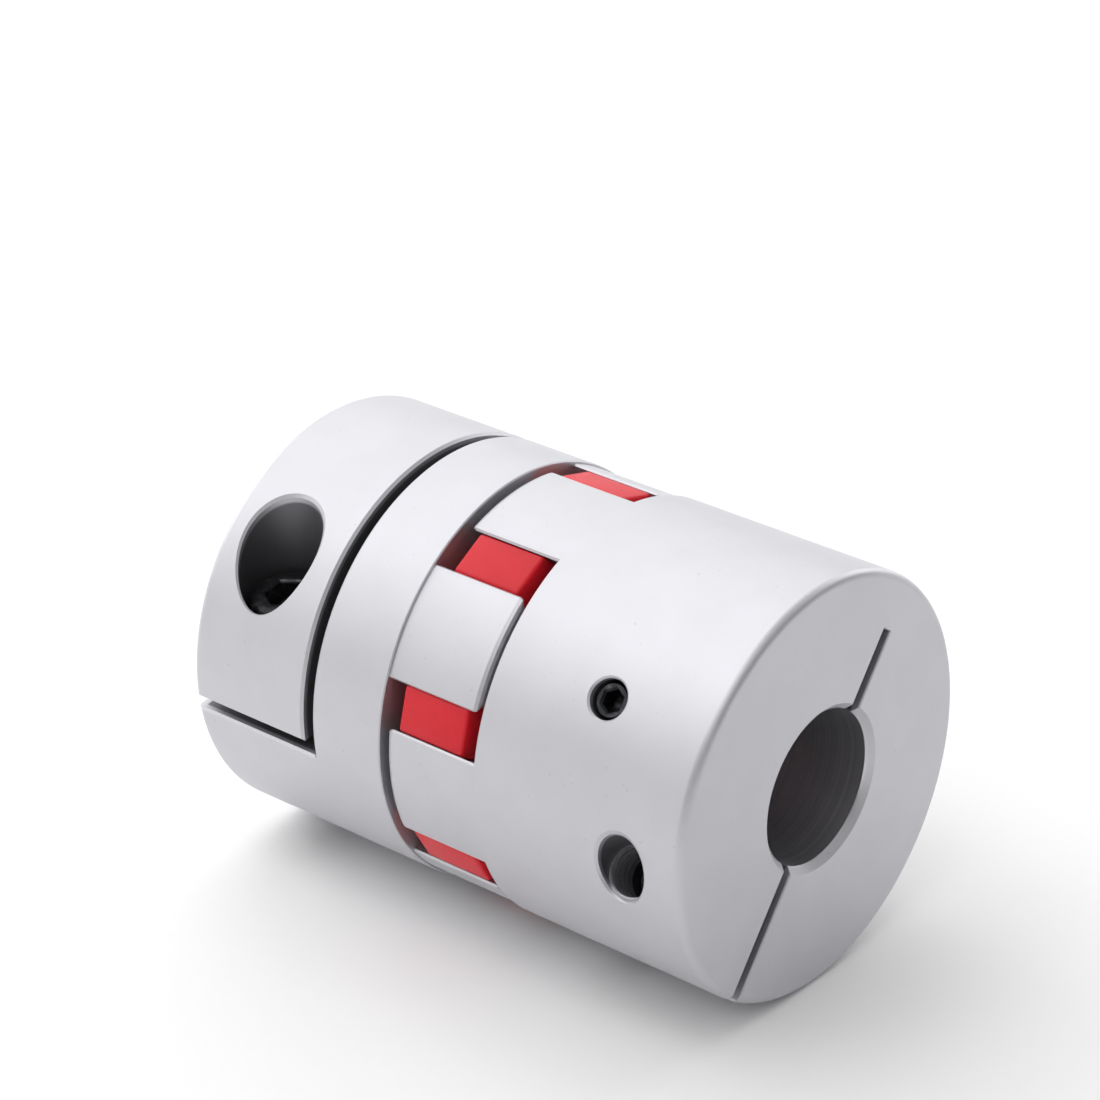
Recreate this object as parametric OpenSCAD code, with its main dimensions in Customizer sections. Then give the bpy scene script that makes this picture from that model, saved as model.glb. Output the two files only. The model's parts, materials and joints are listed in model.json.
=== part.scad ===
// Jaw coupling for two shafts in line: two alike clamping hubs face each other, and their jaws
// interlock through the legs of an elastic spider.
//
// The shaft axis is X, the origin is on that axis at mid-length, and Z is up.
// Sub-parts are drawn lying along Z, where a turn about Z is a turn about the shaft,
// and zero degrees is local +Y. on_shaft() then lays them along X.

/* [Coupling] */
// Outside diameter of the hubs
outer_d = 55; // [54:0.5:60]
// Length from one end face to the other
overall_len = 78; // [76:1:90]
// Distance between the two hub bodies, which the jaws and the spider fill
hub_gap = 15; // [14.8:0.1:15.6]
// How far the whole coupling is rolled about its shaft axis
roll = 120.8; // [0:0.1:360]

/* [Hub] */
// Diameter of the shaft bore
bore_d = 20; // [12:0.5:22]
// Chamfer at both ends of the bore
bore_chamfer = 0.9; // [0.3:0.1:1.5]
// Rounding of the edge round the end face
end_round = 1.15; // [0.5:0.05:2]
// Chamfer round the inner rim of the hub body
rim_chamfer = 0.4; // [0.2:0.1:1]
// Width of the saw cuts that set the clamping half free
saw_w = 1.6; // [1:0.1:2.4]
// Length of the clamping half, from the end face to the cross cut
clamp_len = 18.7; // [18:0.1:20]
// Depth of the blind end of the long slit, from the shaft axis
slit_blind_r = 20.7; // [16:0.1:22]
// Edge break along the saw cuts
saw_edge = 0.35; // [0.1:0.05:0.6]

/* [Jaws] */
// Number of jaws on each hub
jaw_count = 4; // [4:1:4]
// How much the jaws stand below the outside diameter
jaw_step = 0.35; // [0.1:0.05:0.6]
// Length of a jaw from the hub body
jaw_len = 14; // [12:0.1:14.4]
// Radius of the circle inside the jaws
jaw_inner_r = 18.8; // [18.7:0.1:19.5]
// Chamfer round the tip of a jaw
jaw_tip_chamfer = 0.65; // [0.2:0.05:1]
// Chamfer along the long edges of a jaw
jaw_edge_chamfer = 0.45; // [0.2:0.05:0.6]

/* [Spider] */
// Length of the spider along the shaft
spider_len = 10; // [9:0.1:12]
// Radius of the hole in the spider
spider_inner_r = 13.5; // [11:0.5:15]
// Outside radius of the ring that joins the legs
spider_ring_r = 18.5; // [17:0.1:18.6]
// Distance of the flat top of a leg from the shaft axis
leg_top_r = 26.8; // [26:0.1:26.9]
// Radius of the two curved flanks of a leg
leg_flank_r = 8; // [7.5:0.1:8.5]
// Widest part of a leg
leg_w = 7.8; // [7:0.1:8]
// Distance of the widest part of a leg from the shaft axis
leg_mid_r = 22.8; // [22:0.1:23.5]
// Chamfer at both ends of a leg top
leg_chamfer = 0.4; // [0.2:0.05:1]
// Gap between a leg and the jaws beside it
leg_gap = 0.15; // [0.1:0.01:0.2]

/* [Clamp screw] */
// Thread diameter of the clamp screw
clamp_thread_d = 6; // [5:0.5:6]
// Length of the clamp screw below its head
clamp_screw_len = 20; // [16:1:20]
// Diameter of the clamp screw's head
clamp_head_d = 10; // [9:0.5:10.5]
// Height of the clamp screw's head
clamp_head_h = 6; // [4:0.5:6]
// Width across the flats of the clamp screw's socket
clamp_socket_w = 5; // [3:0.5:5]
// Diameter of the counterbore round the head
counterbore_d = 11.5; // [11:0.1:12]
// Diameter of the plain run-out behind the thread
runout_d = 6.9; // [6.5:0.1:7.2]
// Distance of the clamp screw from the shaft axis
clamp_offset = 17.5; // [17:0.1:18]
// Distance of the clamp screw from the end face
clamp_inset = 9; // [8.5:0.1:9.5]
// Distance of the head's seat from the slit's middle
clamp_seat = 8; // [6:0.1:9]
// Distance of the inner end of the run-out from the slit's middle
runout_start = 17.5; // [15:0.1:18]

/* [Set screw] */
// Thread diameter of the set screw
set_thread_d = 5; // [4:0.5:6]
// Length of the set screw
set_screw_len = 16; // [10:1:16]
// Width across the flats of the set screw's socket
set_socket_w = 2.5; // [2:0.5:3]
// Distance of the set screw from the end face
set_inset = 15.25; // [14:0.25:15.5]
// How far the set screw's top lies below the outside diameter
set_recess = 1; // [0.5:0.1:2]

/* [Hidden] */
$fn = 96;
outer_r = outer_d / 2;
bore_r = bore_d / 2;
half_len = overall_len / 2;
rim_z = hub_gap / 2;
tip_z = rim_z - jaw_len;
cross_cut_z = half_len - clamp_len - saw_w;
jaw_r = outer_r - jaw_step;
leg_count = 2 * jaw_count;
leg_pitch = 360 / leg_count;
jaw_pitch = 360 / jaw_count;
flank_shift = leg_flank_r - leg_w / 2;
thread_gap = 0.05;
clearance_gap = 0.3;
clamp_z = half_len - clamp_inset;
set_z = half_len - set_inset;
set_top_r = outer_r - set_recess;
past = 1;
screw_steel = "#1d1e21";
aluminium = "#c9cacd";
polyurethane = "#c8323c";

// Lays a drawing from the Z axis along the shaft, and rolls it into place.
module on_shaft() {
    rotate([90, 0, 90]) rotate([0, 0, roll]) children();
}

// The driven side is drawn as it lies. Its slit is half a leg pitch from the coupling's own zero.
module driven_side() {
    on_shaft() rotate([0, 0, leg_pitch / 2]) children();
}

// The motor side is the same drawing turned end for end.
module motor_side() {
    on_shaft() rotate([0, 180, 0]) rotate([0, 0, leg_pitch / 2]) children();
}

// Puts a drawing that stands along Z on the clamp screw's axis, with Z towards the screw's head.
module on_clamp_axis() {
    translate([0, clamp_offset, clamp_z]) rotate([0, -90, 0]) children();
}

// Puts a drawing that stands along Z on the set screw's axis, with Z away from the shaft.
module on_set_axis() {
    translate([0, 0, set_z]) rotate([0, 90, 0]) children();
}

// Half of the hub body's section, radius across and shaft axis up.
module hub_section() {
    polygon([
        [bore_r, rim_z + bore_chamfer],
        [bore_r + bore_chamfer, rim_z],
        [outer_r - rim_chamfer, rim_z],
        [outer_r, rim_z + rim_chamfer],
        [outer_r, half_len - end_round],
        [outer_r - end_round, half_len],
        [bore_r + bore_chamfer, half_len],
        [bore_r, half_len - bore_chamfer]
    ]);
    translate([outer_r - end_round, half_len - end_round]) circle(end_round);
}

// Outline of a leg with its flanks moved out by grow: two arcs that meet in a lens.
module leg_outline(grow) {
    translate([0, leg_mid_r]) intersection() {
        translate([flank_shift, 0]) circle(leg_flank_r + grow);
        translate([-flank_shift, 0]) circle(leg_flank_r + grow);
    }
}

// Pocket between two jaws that holds a leg, opened out at the outside for the edge chamfer.
module leg_pocket() {
    chamfer_y = jaw_r - jaw_edge_chamfer;
    chamfer_x = sqrt(pow(leg_flank_r + leg_gap, 2) - pow(chamfer_y - leg_mid_r, 2)) - flank_shift;
    opening = jaw_edge_chamfer + past;
    leg_outline(leg_gap);
    polygon([
        [-chamfer_x, chamfer_y],
        [chamfer_x, chamfer_y],
        [chamfer_x + opening, chamfer_y + opening],
        [-chamfer_x - opening, chamfer_y + opening]
    ]);
}

// Section of one hub's jaws, across the shaft.
module jaw_section() {
    reach = 2 * outer_r;
    difference() {
        circle(jaw_r);
        circle(jaw_inner_r);
        for (i = [0 : leg_count - 1]) {
            rotate(leg_pitch * (i + 0.5)) leg_pocket();
        }
        for (i = [0 : jaw_count - 1]) {
            rotate(jaw_pitch * i) polygon([
                [0, 0],
                [reach * sin(leg_pitch / 2), reach * cos(leg_pitch / 2)],
                [-reach * sin(leg_pitch / 2), reach * cos(leg_pitch / 2)]
            ]);
        }
    }
}

// The jaws of one hub, with chamfered tips, sunk a little into the hub body.
module jaws() {
    intersection() {
        translate([0, 0, tip_z - past]) linear_extrude(jaw_len + 2 * past) jaw_section();
        rotate_extrude() polygon([
            [0, tip_z],
            [jaw_r - jaw_tip_chamfer, tip_z],
            [jaw_r, tip_z + jaw_tip_chamfer],
            [jaw_r, rim_z + past],
            [0, rim_z + past]
        ]);
    }
}

// The long slit, from its blind end through the bore to the outside, and its edge breaks.
module long_slit() {
    half_w = saw_w / 2;
    groove = saw_edge + past;
    slit_h = half_len + past - cross_cut_z;
    translate([-half_w, -slit_blind_r, cross_cut_z]) {
        cube([saw_w, slit_blind_r + outer_r + past, slit_h]);
    }
    translate([0, 0, cross_cut_z]) linear_extrude(slit_h) polygon([
        [-half_w, outer_r - saw_edge],
        [half_w, outer_r - saw_edge],
        [half_w + groove, outer_r + past],
        [-half_w - groove, outer_r + past]
    ]);
}

// The cross cut that parts the clamping half from the hub body, up to the slit's far wall.
module cross_cut() {
    span = outer_r + past;
    groove = saw_edge + past;
    intersection() {
        rotate_extrude() polygon([
            [0, cross_cut_z],
            [outer_r - saw_edge, cross_cut_z],
            [outer_r + past, cross_cut_z - groove],
            [outer_r + past, cross_cut_z + saw_w + groove],
            [outer_r - saw_edge, cross_cut_z + saw_w],
            [0, cross_cut_z + saw_w]
        ]);
        translate([-span, -span, cross_cut_z - groove]) {
            cube([span + saw_w / 2, 2 * span, saw_w + 2 * groove]);
        }
    }
}

// Everything drilled for the clamp screw: counterbore, clearance hole, thread and run-out.
module clamp_holes() {
    on_clamp_axis() {
        translate([0, 0, clamp_seat]) cylinder(h = outer_r, d = counterbore_d);
        cylinder(h = clamp_seat + past, d = clamp_thread_d + 2 * clearance_gap);
        translate([0, 0, -outer_r]) {
            cylinder(h = outer_r + past, d = clamp_thread_d + 2 * thread_gap);
            cylinder(h = outer_r - runout_start, d = runout_d);
        }
    }
}

// The tapped hole for the set screw, from the bore out.
module set_hole() {
    on_set_axis() cylinder(h = outer_r + past, d = set_thread_d + 2 * thread_gap);
}

module hub() {
    difference() {
        union() {
            rotate_extrude() hub_section();
            jaws();
        }
        long_slit();
        cross_cut();
        clamp_holes();
        set_hole();
    }
}

// Hexagonal socket sunk from height top, depth deep.
module hex_socket(width, depth, top) {
    translate([0, 0, top - depth]) {
        cylinder(h = depth + past, d = width / cos(30), $fn = 6);
    }
}

// Socket head cap screw. Its seat is at the clamp seat, and its thread runs through the slit.
module cap_screw() {
    edge = 0.5;
    thread_r = clamp_thread_d / 2;
    head_r = clamp_head_d / 2;
    tip = clamp_seat - clamp_screw_len;
    top = clamp_seat + clamp_head_h;
    difference() {
        rotate_extrude() polygon([
            [0, tip],
            [thread_r - edge, tip],
            [thread_r, tip + edge],
            [thread_r, clamp_seat],
            [head_r, clamp_seat],
            [head_r, top - edge],
            [head_r - edge, top],
            [0, top]
        ]);
        hex_socket(clamp_socket_w, clamp_head_h / 2, top);
    }
}

// Headless screw with a cup point towards the shaft.
module grub_screw() {
    edge = 0.5;
    thread_r = set_thread_d / 2;
    cup_r = thread_r - 2 * edge;
    tip = set_top_r - set_screw_len;
    difference() {
        rotate_extrude() polygon([
            [0, tip + 2 * edge],
            [cup_r, tip],
            [thread_r, tip + 2 * edge],
            [thread_r, set_top_r - edge],
            [thread_r - edge, set_top_r],
            [0, set_top_r]
        ]);
        hex_socket(set_socket_w, set_socket_w, set_top_r);
    }
}

// Section of the spider across the shaft: a ring with eight legs, each flat on top.
module spider_section() {
    difference() {
        union() {
            circle(spider_ring_r);
            for (i = [0 : leg_count - 1]) {
                rotate(leg_pitch * i) intersection() {
                    leg_outline(0);
                    translate([-leg_w, 0]) square([2 * leg_w, leg_top_r]);
                }
            }
        }
        circle(spider_inner_r);
    }
}

// What is cut away to chamfer one end of a leg's top.
module leg_end_cut() {
    half = spider_len / 2;
    rotate([90, 0, 90]) linear_extrude(2 * leg_w, center = true) polygon([
        [leg_top_r + past, half - leg_chamfer - past],
        [leg_top_r - leg_chamfer - past, half + past],
        [leg_top_r + past, half + past]
    ]);
}

module spider() {
    color(polyurethane) on_shaft() difference() {
        linear_extrude(spider_len, center = true) spider_section();
        for (i = [0 : leg_count - 1]) {
            rotate([0, 0, leg_pitch * i]) {
                leg_end_cut();
                mirror([0, 0, 1]) leg_end_cut();
            }
        }
    }
}

module motor_hub() {
    color(aluminium) motor_side() hub();
}

module driven_hub() {
    color(aluminium) driven_side() hub();
}

module motor_clamp_screw() {
    color(screw_steel) motor_side() on_clamp_axis() cap_screw();
}

module driven_clamp_screw() {
    color(screw_steel) driven_side() on_clamp_axis() cap_screw();
}

module motor_set_screw() {
    color(screw_steel) motor_side() on_set_axis() grub_screw();
}

module driven_set_screw() {
    color(screw_steel) driven_side() on_set_axis() grub_screw();
}

motor_hub();
driven_hub();
spider();
motor_clamp_screw();
driven_clamp_screw();
motor_set_screw();
driven_set_screw();
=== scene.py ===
"""A jaw coupling with two clamping hubs, built and finished for rendering around its CAD frame.

Sizes are in millimetres until a mesh is placed, because the solids are carved at that scale.
Every sub-assembly is shaped in its own bench frame and then laid into the row frame:

* hub bench frame: the shaft axis is Z, pointing out of the hub, and the long slit opens at +Y;
* screw bench frame: the screw's axis is Z, pointing out of the hub, and zero is on the shaft's plane.

An angle about the shaft is counted from +Y, anticlockwise as seen from the end face.
"""

from __future__ import annotations

import json
import logging
import math
from collections.abc import Callable, Iterable, Sequence
from dataclasses import dataclass, field, replace
from enum import Enum
from typing import Any

import bmesh
import bpy
from mathutils import Matrix, Vector

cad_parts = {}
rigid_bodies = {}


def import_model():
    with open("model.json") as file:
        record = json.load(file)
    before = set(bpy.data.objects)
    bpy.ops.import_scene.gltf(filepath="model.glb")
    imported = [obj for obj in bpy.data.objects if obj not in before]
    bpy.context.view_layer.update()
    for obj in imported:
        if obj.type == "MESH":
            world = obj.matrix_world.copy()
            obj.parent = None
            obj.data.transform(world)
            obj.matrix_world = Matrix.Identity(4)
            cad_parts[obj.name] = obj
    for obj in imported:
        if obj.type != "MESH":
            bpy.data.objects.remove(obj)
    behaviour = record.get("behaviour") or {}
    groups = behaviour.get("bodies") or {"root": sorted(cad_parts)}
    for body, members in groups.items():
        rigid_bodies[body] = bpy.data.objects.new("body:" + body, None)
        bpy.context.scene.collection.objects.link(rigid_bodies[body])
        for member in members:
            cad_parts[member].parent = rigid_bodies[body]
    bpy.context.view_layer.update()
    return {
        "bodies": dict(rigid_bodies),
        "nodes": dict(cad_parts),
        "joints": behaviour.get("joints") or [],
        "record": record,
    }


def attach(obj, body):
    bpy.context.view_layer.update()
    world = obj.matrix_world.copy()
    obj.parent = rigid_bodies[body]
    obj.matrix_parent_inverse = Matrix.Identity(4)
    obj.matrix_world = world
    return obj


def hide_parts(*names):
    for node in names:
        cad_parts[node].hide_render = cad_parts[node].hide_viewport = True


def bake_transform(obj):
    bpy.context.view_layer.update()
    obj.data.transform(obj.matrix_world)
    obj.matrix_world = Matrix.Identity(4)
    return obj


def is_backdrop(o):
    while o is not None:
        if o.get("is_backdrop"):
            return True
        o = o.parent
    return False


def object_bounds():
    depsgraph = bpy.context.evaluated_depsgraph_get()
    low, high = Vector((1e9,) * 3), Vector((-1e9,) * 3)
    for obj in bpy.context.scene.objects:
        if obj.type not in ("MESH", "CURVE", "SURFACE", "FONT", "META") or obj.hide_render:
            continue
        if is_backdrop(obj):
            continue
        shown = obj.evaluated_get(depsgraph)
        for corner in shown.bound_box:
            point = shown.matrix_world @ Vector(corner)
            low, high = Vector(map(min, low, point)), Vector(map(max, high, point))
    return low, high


LOG = logging.getLogger("coupling")
MM = 0.001
PAST = 1.0

Point = tuple[float, float]
Loop = list[Vector]


class Side(Enum):
    """Which shaft a piece belongs to."""

    MOTOR = "motor"
    DRIVEN = "driven"

    def node(self, part: str) -> str:
        """Name of this side's CAD node or body for a part, such as motor_hub."""
        return f"{self.value}_{part}"


class Carve(Enum):
    """What a tool solid does to the work."""

    JOIN = "UNION"
    CUT = "DIFFERENCE"


# ---------------------------------------------------------------------------------------------
# Node graphs
# ---------------------------------------------------------------------------------------------


class Value:
    """A number socket that can stand in a Python expression."""

    def __init__(self, graph: Graph, socket: bpy.types.NodeSocket | None) -> None:
        """Wraps one output socket of a graph, or nothing for a node that ends it."""
        self.graph = graph
        self.socket = socket

    def _math(self, operation: str, *values: Any) -> Value:
        """Adds one Math node."""
        inputs = dict(enumerate(values))
        return self.graph.add("ShaderNodeMath", {"operation": operation}, inputs)

    def __add__(self, other: Any) -> Value:
        """Sum."""
        return self._math("ADD", self, other)

    __radd__ = __add__

    def __sub__(self, other: Any) -> Value:
        """Difference."""
        return self._math("SUBTRACT", self, other)

    def __rsub__(self, other: Any) -> Value:
        """Difference, the other way round."""
        return self._math("SUBTRACT", other, self)

    def __mul__(self, other: Any) -> Value:
        """Product."""
        return self._math("MULTIPLY", self, other)

    __rmul__ = __mul__

    def __truediv__(self, other: Any) -> Value:
        """Quotient."""
        return self._math("DIVIDE", self, other)

    def __rtruediv__(self, other: Any) -> Value:
        """Quotient, the other way round."""
        return self._math("DIVIDE", other, self)

    def __abs__(self) -> Value:
        """Size without its sign."""
        return self._math("ABSOLUTE", self)

    def sqrt(self) -> Value:
        """Square root."""
        return self._math("SQRT", self)

    def least(self, other: Any) -> Value:
        """The smaller of the two."""
        return self._math("MINIMUM", self, other)

    def step(self, low: float, high: float) -> Value:
        """Rises smoothly from 0 at low to 1 at high, or falls where low is the larger."""
        settings = {"interpolation_type": "SMOOTHSTEP"}
        if low <= high:
            return self.graph.add("ShaderNodeMapRange", settings, {0: self, 1: low, 2: high})
        return 1 - self.step(high, low)


class Graph:
    """Adds nodes to a shader or geometry tree."""

    def __init__(self, tree: bpy.types.NodeTree) -> None:
        """Takes over an empty tree."""
        self.tree = tree

    def add(
        self,
        kind: str,
        settings: dict[str, Any] | None = None,
        inputs: dict[int | str, Any] | None = None,
        output: int | str = 0,
    ) -> Value:
        """Adds a node, sets it up and links it.

        Args:
            kind: The node's type.
            settings: Its properties, set before its sockets. "stops" fills a colour ramp.
            inputs: A number, colour, Value or data-block for each socket, by index or name.
            output: The output socket that the result stands for.

        Returns:
            The chosen output.
        """
        node = self.tree.nodes.new(kind)
        for name, value in (settings or {}).items():
            if name == "stops":
                self._fill_ramp(node.color_ramp, value)
            else:
                setattr(node, name, value)
        for key, value in (inputs or {}).items():
            if isinstance(value, Value):
                self.tree.links.new(value.socket, node.inputs[key])
            else:
                node.inputs[key].default_value = value
        return Value(self, node.outputs[output] if node.outputs else None)

    def join(self, parts: Iterable[Value]) -> Value:
        """Several geometries as one."""
        node = self.tree.nodes.new("GeometryNodeJoinGeometry")
        for part in parts:
            self.tree.links.new(part.socket, node.inputs[0])
        return Value(self, node.outputs[0])

    @staticmethod
    def _fill_ramp(ramp: bpy.types.ColorRamp, stops: Sequence[tuple[float, Sequence[float]]]) -> None:
        """Gives a colour ramp its stops."""
        while len(ramp.elements) < len(stops):
            ramp.elements.new(1.0)
        for element, (position, colour) in zip(ramp.elements, stops):
            element.position = position
            element.color = colour

    def other(self, value: Value, output: int | str) -> Value:
        """Another output of the node behind a value."""
        return Value(self, value.socket.node.outputs[output])


class Finish:
    """A procedural material. A subclass draws its graph."""

    name: str

    def material(self) -> bpy.types.Material:
        """The finish's material, drawn when it is first asked for."""
        made = bpy.data.materials.get(self.name)
        if made is None:
            made = bpy.data.materials.new(self.name)
            made.use_nodes = True
            made.node_tree.nodes.clear()
            graph = Graph(made.node_tree)
            surface = self.draw(graph)
            graph.add("ShaderNodeOutputMaterial", None, {"Surface": surface})
        return made

    def dress(self, mesh: bpy.types.Mesh) -> bpy.types.Mesh:
        """Makes this finish a mesh's only material."""
        mesh.materials.clear()
        mesh.materials.append(self.material())
        for face in mesh.polygons:
            face.material_index = 0
        return mesh

    def draw(self, graph: Graph) -> Value:
        """Draws the shader and returns its surface."""
        raise NotImplementedError


def object_place(graph: Graph) -> tuple[Value, Value, Value, Value]:
    """The object's own coordinates in metres, whole and as x, y and z."""
    place = graph.add("ShaderNodeTexCoord", output="Object")
    x = graph.add("ShaderNodeSeparateXYZ", None, {0: place})
    return place, x, graph.other(x, 1), graph.other(x, 2)


def noise(graph: Graph, place: Value, size_mm: float, detail: float = 2.0) -> Value:
    """Soft noise whose patches are about size_mm across, from 0 to 1."""
    inputs = {"Vector": place, "Scale": 1 / (size_mm * MM), "Detail": detail}
    return graph.add("ShaderNodeTexNoise", None, inputs)


def lines(graph: Graph, along: Value, pitch_mm: float, detail: float = 3.0) -> Value:
    """Uneven lines square to a coordinate, about pitch_mm apart, from 0 to 1."""
    inputs = {"W": along, "Scale": 1 / (pitch_mm * MM), "Detail": detail}
    return graph.add("ShaderNodeTexNoise", {"noise_dimensions": "1D"}, inputs)


def tint(graph: Graph, factor: Value, low: Sequence[float], high: Sequence[float]) -> Value:
    """A colour between two, by a factor."""
    stops = [(0.0, (*low, 1.0)), (1.0, (*high, 1.0))]
    return graph.add("ShaderNodeValToRGB", {"stops": stops}, {0: factor})


def blend(graph: Graph, factor: Value, under: Value, over: Sequence[float]) -> Value:
    """Covers a colour with another one, by a factor."""
    inputs = {0: factor, 6: under, 7: (*over, 1.0)}
    return graph.add("ShaderNodeMix", {"data_type": "RGBA"}, inputs, 2)


def bump(graph: Graph, height: Value, depth_mm: float) -> Value:
    """A surface normal raised by a height from 0 to 1 of a given depth."""
    return graph.add("ShaderNodeBump", None, {"Height": height, "Distance": depth_mm * MM})


@dataclass(frozen=True)
class AnodisedAluminium(Finish):
    """Clear anodised, turned aluminium: satin outside, with painted shade darkening its holes and cuts,
    bored bright.
    """

    name: str = "satin_anodised_aluminium"
    outer_r: float = 27.5
    half_len: float = 39.0
    bore_r: float = 10.0
    jaws_half: float = 8.0
    skin: float = 0.7
    end_skin: float = 0.95
    light: tuple[float, float, float] = (0.6, 0.599, 0.628)
    dark: tuple[float, float, float] = (0.575, 0.574, 0.602)
    # Painted shade: the dark colour that stands for the shade in holes and cuts.
    painted_shade: tuple[float, float, float] = (0.2, 0.2, 0.215)
    bare: tuple[float, float, float] = (0.6, 0.6, 0.63)
    speck: tuple[float, float, float] = (0.5, 0.5, 0.525)
    metallic: float = 0.9
    satin: float = 0.5
    turned: float = 0.34
    turning_pitch: float = 0.16
    facing_pitch: float = 0.22
    boring_pitch: float = 0.5
    grain_size: float = 0.2
    cloud_size: float = 7.0
    speck_size: float = 0.55
    relief: float = 0.003

    def draw(self, graph: Graph) -> Value:
        """Draws satin metal with turning lines that follow the tool on each surface."""
        place, x, y, z = object_place(graph)
        radius = (y * y + z * z).sqrt()
        on_face = abs(x).step((self.half_len - 0.25) * MM, (self.half_len - 0.05) * MM)
        off_face = 1 - on_face
        in_bore = radius.step((self.bore_r + 0.3) * MM, (self.bore_r + 0.1) * MM)
        off_jaws = abs(x).step(self.jaws_half * MM, (self.jaws_half + 0.5) * MM)
        # Painted shade mask: deeper than a skin under the round outside, short of the end faces and clear of
        # the jaws, so holes, slits and cuts are darkened.
        below = radius.step((self.outer_r - self.skin) * MM, (self.outer_r - self.skin - 0.4) * MM)
        near_end = self.half_len - self.end_skin
        off_end = 1 - abs(x).step((near_end - 0.15) * MM, near_end * MM)
        painted_shade_mask = below * off_end * off_jaws
        turning = lines(graph, x, self.turning_pitch)
        facing = lines(graph, radius, self.facing_pitch)
        boring = lines(graph, x, self.boring_pitch, 6.0)
        grain = noise(graph, place, self.grain_size, 3.0)
        clouds = noise(graph, place, self.cloud_size).step(0.3, 0.7)
        specks = noise(graph, place, self.speck_size, 1.0).step(0.74, 0.8) * (1 - painted_shade_mask)
        outside = tint(graph, clouds * 0.6 + grain * 0.4, self.dark, self.light)
        spotted = blend(graph, specks, outside, self.speck)
        # Paints the shade into the holes and cuts.
        cut = blend(graph, painted_shade_mask, spotted, self.painted_shade)
        bored = blend(graph, in_bore * (0.55 + boring * 0.6), cut, self.bare)
        tool = turning * off_face + facing * on_face
        height = (tool * 0.45 + grain * 0.55) * (1 - in_bore) + boring * in_bore * 4
        rough = self.satin + (grain - 0.5) * 0.1 + in_bore * (self.turned - self.satin)
        return graph.add(
            "ShaderNodeBsdfPrincipled",
            None,
            {
                "Base Color": bored,
                "Metallic": self.metallic,
                "Roughness": rough,
                "Normal": bump(graph, height, self.relief),
            },
        )


@dataclass(frozen=True)
class MouldedPolyurethane(Finish):
    """Red moulded polyurethane with a faint mottle and a soft gloss."""

    name: str = "moulded_red_polyurethane"
    light: tuple[float, float, float] = (0.72, 0.016, 0.03)
    dark: tuple[float, float, float] = (0.62, 0.01, 0.02)
    roughness: float = 0.44
    translucency: float = 0.7
    depth_mm: float = 4.0
    depth_by_colour: tuple[float, float, float] = (1.0, 0.12, 0.1)
    specular: float = 0.34
    cloud_size: float = 2.6
    skin_size: float = 0.3
    relief: float = 0.02

    def draw(self, graph: Graph) -> Value:
        """Draws a slightly clouded, translucent plastic with a fine mould texture."""
        place, _, _, _ = object_place(graph)
        clouds = noise(graph, place, self.cloud_size, 3.0)
        skin = noise(graph, place, self.skin_size, 3.0)
        return graph.add(
            "ShaderNodeBsdfPrincipled",
            None,
            {
                "Base Color": tint(graph, clouds * 0.75 + skin * 0.25, self.dark, self.light),
                "Roughness": self.roughness + (skin - 0.5) * 0.16,
                "Normal": bump(graph, skin * 0.6 + clouds * 0.4, self.relief),
                "Specular IOR Level": self.specular,
                "Subsurface Weight": self.translucency,
                "Subsurface Radius": self.depth_by_colour,
                "Subsurface Scale": self.depth_mm * MM,
            },
        )


@dataclass(frozen=True)
class BlackOxide(Finish):
    """Blackened steel of the screws, slightly worn to grey in random patches."""

    name: str = "black_oxide_steel"
    dark: tuple[float, float, float] = (0.012, 0.0125, 0.014)
    worn: tuple[float, float, float] = (0.085, 0.086, 0.095)
    roughness: float = 0.3
    metallic: float = 0.75
    grain_size: float = 0.25
    wear_size: float = 1.4
    relief: float = 0.008

    def draw(self, graph: Graph) -> Value:
        """Draws oiled black oxide with a fine grain."""
        place, _, _, _ = object_place(graph)
        grain = noise(graph, place, self.grain_size, 4.0)
        wear = noise(graph, place, self.wear_size, 3.0).step(0.45, 0.75)
        return graph.add(
            "ShaderNodeBsdfPrincipled",
            None,
            {
                "Base Color": tint(graph, wear * 0.7 + grain * 0.3, self.dark, self.worn),
                "Metallic": self.metallic,
                "Roughness": self.roughness + (grain - 0.5) * 0.2,
                "Normal": bump(graph, grain, self.relief),
            },
        )


@dataclass(frozen=True)
class StudioPaper(Finish):
    """Pale matt paper under the object."""

    name: str = "studio_paper"
    dark: tuple[float, float, float] = (0.93, 0.93, 0.93)
    light: tuple[float, float, float] = (0.95, 0.95, 0.95)
    roughness: float = 0.85
    fibre_size: float = 1.2
    relief: float = 0.01

    def draw(self, graph: Graph) -> Value:
        """Draws nearly white paper with a faint fibre."""
        place, _, _, _ = object_place(graph)
        fibre = noise(graph, place, self.fibre_size, 4.0)
        return graph.add(
            "ShaderNodeBsdfPrincipled",
            None,
            {
                "Base Color": tint(graph, fibre, self.dark, self.light),
                "Roughness": self.roughness,
                "Normal": bump(graph, fibre, self.relief),
            },
        )


# ---------------------------------------------------------------------------------------------
# Meshes
# ---------------------------------------------------------------------------------------------


def polar(radius: float, degrees: float) -> Point:
    """A point at an angle about the shaft, counted from +Y anticlockwise."""
    return -radius * math.sin(math.radians(degrees)), radius * math.cos(math.radians(degrees))


def spaced(start: float, end: float, count: int) -> list[float]:
    """Evenly spaced numbers from start to end, both included."""
    return [start + (end - start) * i / (count - 1) for i in range(count)]


def arc(centre: Point, radius: float, start: float, end: float, count: int) -> list[Point]:
    """Points on an arc, with angles in degrees from the first axis towards the second."""
    turns = [math.radians(a) for a in spaced(start, end, count)]
    return [(centre[0] + radius * math.cos(t), centre[1] + radius * math.sin(t)) for t in turns]


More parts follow.
